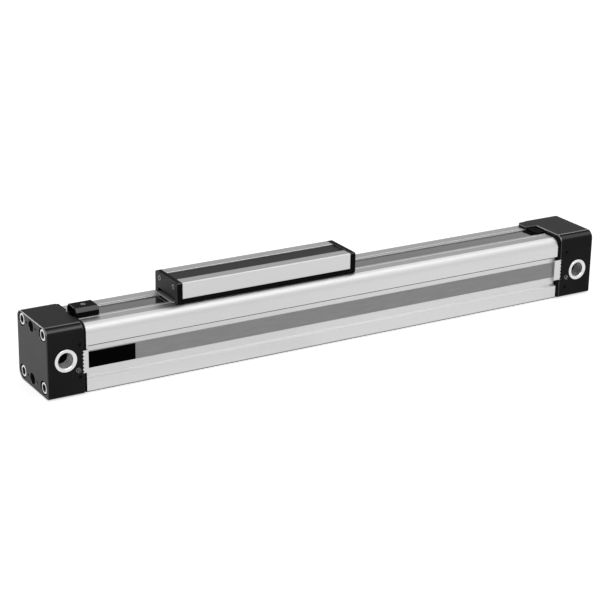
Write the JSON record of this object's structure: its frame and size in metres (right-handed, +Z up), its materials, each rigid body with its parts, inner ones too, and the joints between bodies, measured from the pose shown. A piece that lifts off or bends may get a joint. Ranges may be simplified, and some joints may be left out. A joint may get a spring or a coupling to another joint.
{
  "type": "rodless pneumatic cylinder",
  "caption": "Rodless pneumatic cylinder with a slotted aluminium barrel, black end caps and a sliding carriage driven by pistons through a sealing band",
  "frame": {"origin": "on the floor under the middle of the overall length, at the centre of the barrel's width", "axes": "+X along the barrel towards the right cap, +Y to the far side, +Z up through the carriage"},
  "size_m": [0.375, 0.0413, 0.0521],
  "materials": {
    "silver_anodised": "satin",
    "black_cast": "satin",
    "black_plastic": "satin",
    "black_rubber": "matte",
    "zinc_steel": "satin",
    "dark_steel": "satin",
    "band_steel": "glossy",
    "grey_strip": "matte",
    "dark_strip": "satin",
    "pale_plastic": "satin"
  },
  "bodies": {
    "cylinder": {"barrel": "silver_anodised", "left_end_cap": "black_cast", "right_end_cap": "black_cast", "left_cap_collar": "black_rubber", "right_cap_collar": "black_rubber", "left_cap_screws": "zinc_steel", "right_cap_screws": "zinc_steel", "left_port_ring": "zinc_steel", "right_port_ring": "zinc_steel", "left_cushion_spigot": "silver_anodised", "right_cushion_spigot": "silver_anodised", "left_bore_seal": "black_rubber", "right_bore_seal": "black_rubber", "left_side_tabs": "silver_anodised", "right_side_tabs": "silver_anodised", "near_groove_strip": "grey_strip", "far_groove_strip": "grey_strip", "outer_sealing_band": "band_steel", "inner_sealing_band": "band_steel", "left_clamp_cover": "black_plastic", "left_clamp_block": "dark_steel", "right_clamp_block": "dark_steel", "left_clamp_screw": "zinc_steel", "right_clamp_screw": "zinc_steel"},
    "carriage": {"carriage_saddle": "silver_anodised", "carriage_top_strip": "dark_strip", "near_slide_strip": "black_plastic", "far_slide_strip": "black_plastic", "left_carriage_cover": "black_plastic", "right_carriage_cover": "black_plastic", "left_cover_screws": "zinc_steel", "right_cover_screws": "zinc_steel", "left_wiper": "pale_plastic", "right_wiper": "pale_plastic", "piston_yoke": "silver_anodised", "yoke_screws": "zinc_steel", "left_piston": "black_plastic", "right_piston": "black_plastic", "left_magnet_ring": "dark_steel", "right_magnet_ring": "dark_steel", "left_guide_ring": "pale_plastic", "right_guide_ring": "pale_plastic", "left_cushion_seal": "black_rubber", "right_cushion_seal": "black_rubber", "left_lip_seal": "black_rubber", "right_lip_seal": "black_rubber"},
    "left_cushion_screw_body": {"left_cushion_screw": "dark_steel"},
    "right_cushion_screw_body": {"right_cushion_screw": "dark_steel"}
  },
  "joints": [
    {"name": "carriage_slide", "type": "slide", "parent": "cylinder", "child": "carriage", "axis": [1, 0, 0], "range_m": [-0.0428, 0.1322], "deforming": ["outer_sealing_band", "inner_sealing_band"]},
    {"name": "left_cushion_turn", "type": "hinge", "parent": "cylinder", "child": "left_cushion_screw_body", "pos_m": [-0.1691, -0.0165, 0.0146], "axis": [0, 1, 0], "range_deg": [0, 360]},
    {"name": "right_cushion_turn", "type": "hinge", "parent": "cylinder", "child": "right_cushion_screw_body", "pos_m": [0.1681, -0.0165, 0.013], "axis": [0, 1, 0], "range_deg": [0, 360]}
  ]
}
